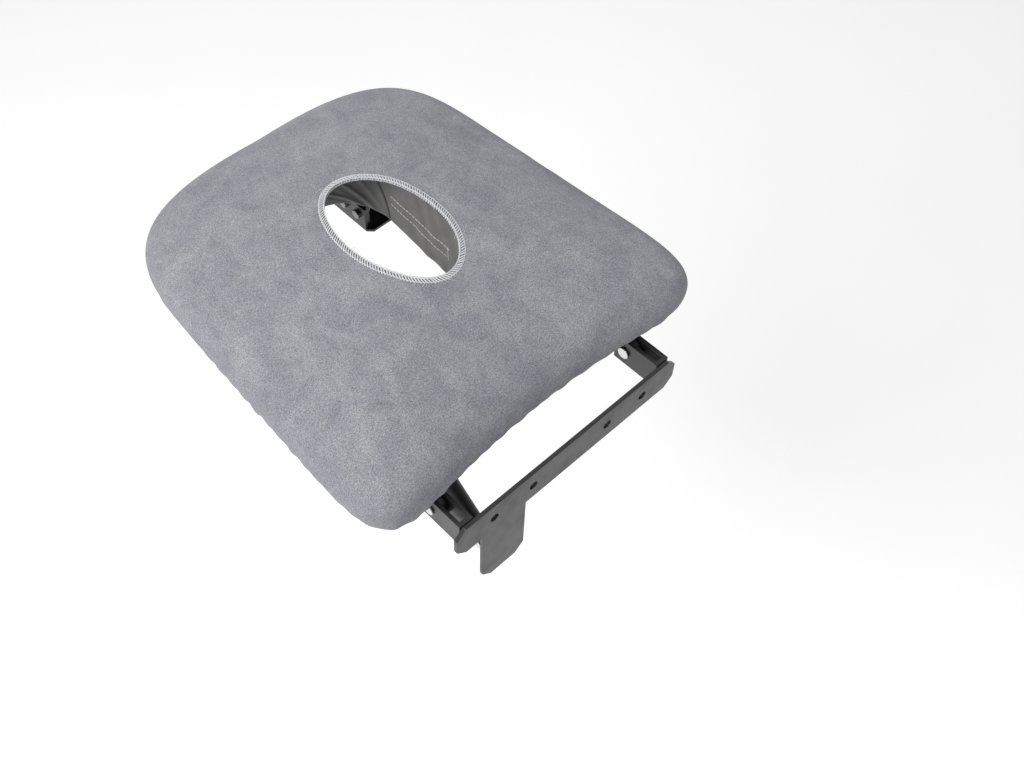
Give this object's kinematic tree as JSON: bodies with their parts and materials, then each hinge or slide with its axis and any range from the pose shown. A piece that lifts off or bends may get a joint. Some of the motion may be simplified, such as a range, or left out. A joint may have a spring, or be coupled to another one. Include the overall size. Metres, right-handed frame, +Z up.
{
  "type": "face cradle cushion",
  "caption": "Padded head cushion with an oval face opening and a fitted fleece cover, on a tilting steel frame with a lockable gas spring.",
  "frame": {"origin": "middle of the mounting plate's flat back, where it meets the couch's crossbar", "axes": "+Z up out of the cushion's top, +Y towards the head end, +X to the right when seen from the table end"},
  "size_m": [0.3758, 0.433, 0.2056],
  "materials": {
    "fleece": "brushed microfleece, grey, faint cloudy nap",
    "overlock_thread": "white and grey overlock thread",
    "vinyl": "satin dark grey vinyl",
    "foam_firm": "firm open-cell foam",
    "foam_soft": "soft open-cell foam",
    "plywood": "bare birch plywood",
    "nonwoven": "black non-woven sheet",
    "elastic": "covered elastic cord",
    "black_steel": "black powder coat, satin",
    "zinc_steel": "bright zinc plate",
    "chrome": "polished hard chrome",
    "black_plastic": "moulded black plastic",
    "nylon": "natural nylon"
  },
  "bodies": {
    "couch_bracket": {"mounting_plate": "black_steel", "hinge_clevis_left": "black_steel", "hinge_clevis_right": "black_steel", "hinge_pin_left": "zinc_steel", "hinge_pin_right": "zinc_steel", "spring_anchor": "black_steel", "anchor_pin": "zinc_steel"},
    "headrest": {"base_board": "plywood", "dust_cover": "nonwoven", "foam_base": "foam_firm", "foam_top": "foam_soft", "vinyl_skin": "vinyl", "face_hole_lining": "vinyl", "fitted_cover": "fleece", "hole_edging": "overlock_thread", "hem_elastic": "elastic", "cross_tube": "black_steel", "rod_stud": "zinc_steel", "release_cable": "black_plastic", "handle_bracket": "black_steel", "handle_pin": "zinc_steel", "rail_left": "black_steel", "rail_plug_left": "black_plastic", "gusset_left": "black_steel", "board_angle_left": "black_steel", "hinge_arm_left": "black_steel", "hinge_bush_left": "nylon", "spacer_left": "black_plastic", "t_nut_front_left": "zinc_steel", "t_nut_head_left": "zinc_steel", "board_bolt_front_left": "zinc_steel", "board_bolt_head_left": "zinc_steel", "side_bolt_left_1": "zinc_steel", "side_bolt_left_2": "zinc_steel", "side_nut_left_1": "zinc_steel", "side_nut_left_2": "zinc_steel", "rail_right": "black_steel", "rail_plug_right": "black_plastic", "gusset_right": "black_steel", "board_angle_right": "black_steel", "hinge_arm_right": "black_steel", "hinge_bush_right": "nylon", "spacer_right": "black_plastic", "t_nut_front_right": "zinc_steel", "t_nut_head_right": "zinc_steel", "board_bolt_front_right": "zinc_steel", "board_bolt_head_right": "zinc_steel", "side_bolt_right_1": "zinc_steel", "side_bolt_right_2": "zinc_steel", "side_nut_right_1": "zinc_steel", "side_nut_right_2": "zinc_steel"},
    "gas_cylinder": {"gas_cylinder": "black_steel", "cylinder_eye": "zinc_steel", "rod_guide": "black_plastic"},
    "gas_rod": {"gas_rod": "chrome", "release_head": "zinc_steel"},
    "valve_pin": {"valve_pin": "zinc_steel"},
    "release_handle": {"release_handle": "black_plastic"}
  },
  "joints": [
    {"name": "head_tilt", "type": "hinge", "parent": "couch_bracket", "child": "headrest", "pos_m": [0, 0.041, 0.0055], "axis": [1, 0, 0], "range_deg": [-25, 30]},
    {"name": "spring_foot_pivot", "type": "hinge", "parent": "couch_bracket", "child": "gas_cylinder", "pos_m": [-0.078, 0.02537, -0.08313], "axis": [1, 0, 0], "range_deg": [-12.6, 15.1]},
    {"name": "spring_head_pivot", "type": "hinge", "parent": "headrest", "child": "gas_rod", "pos_m": [-0.078, 0.131, 0.0055], "axis": [1, 0, 0], "range_deg": [-15.1, 12.6]},
    {"name": "handle_pull", "type": "hinge", "parent": "headrest", "child": "release_handle", "pos_m": [-0.1285, 0.237, 0.0055], "axis": [0, 1, 0], "range_deg": [0, 18]},
    {"name": "valve_press", "type": "slide", "parent": "gas_rod", "child": "valve_pin", "axis": [0, -0.6428, 0.766], "range_m": [0, 0.0025]}
  ],
  "couplings": [
    {"joint": "spring_foot_pivot", "follows": "head_tilt", "ratio": 0.5},
    {"joint": "spring_head_pivot", "follows": "head_tilt", "ratio": -0.5},
    {"joint": "valve_press", "follows": "handle_pull", "m_per_rad": 0.0079}
  ]
}
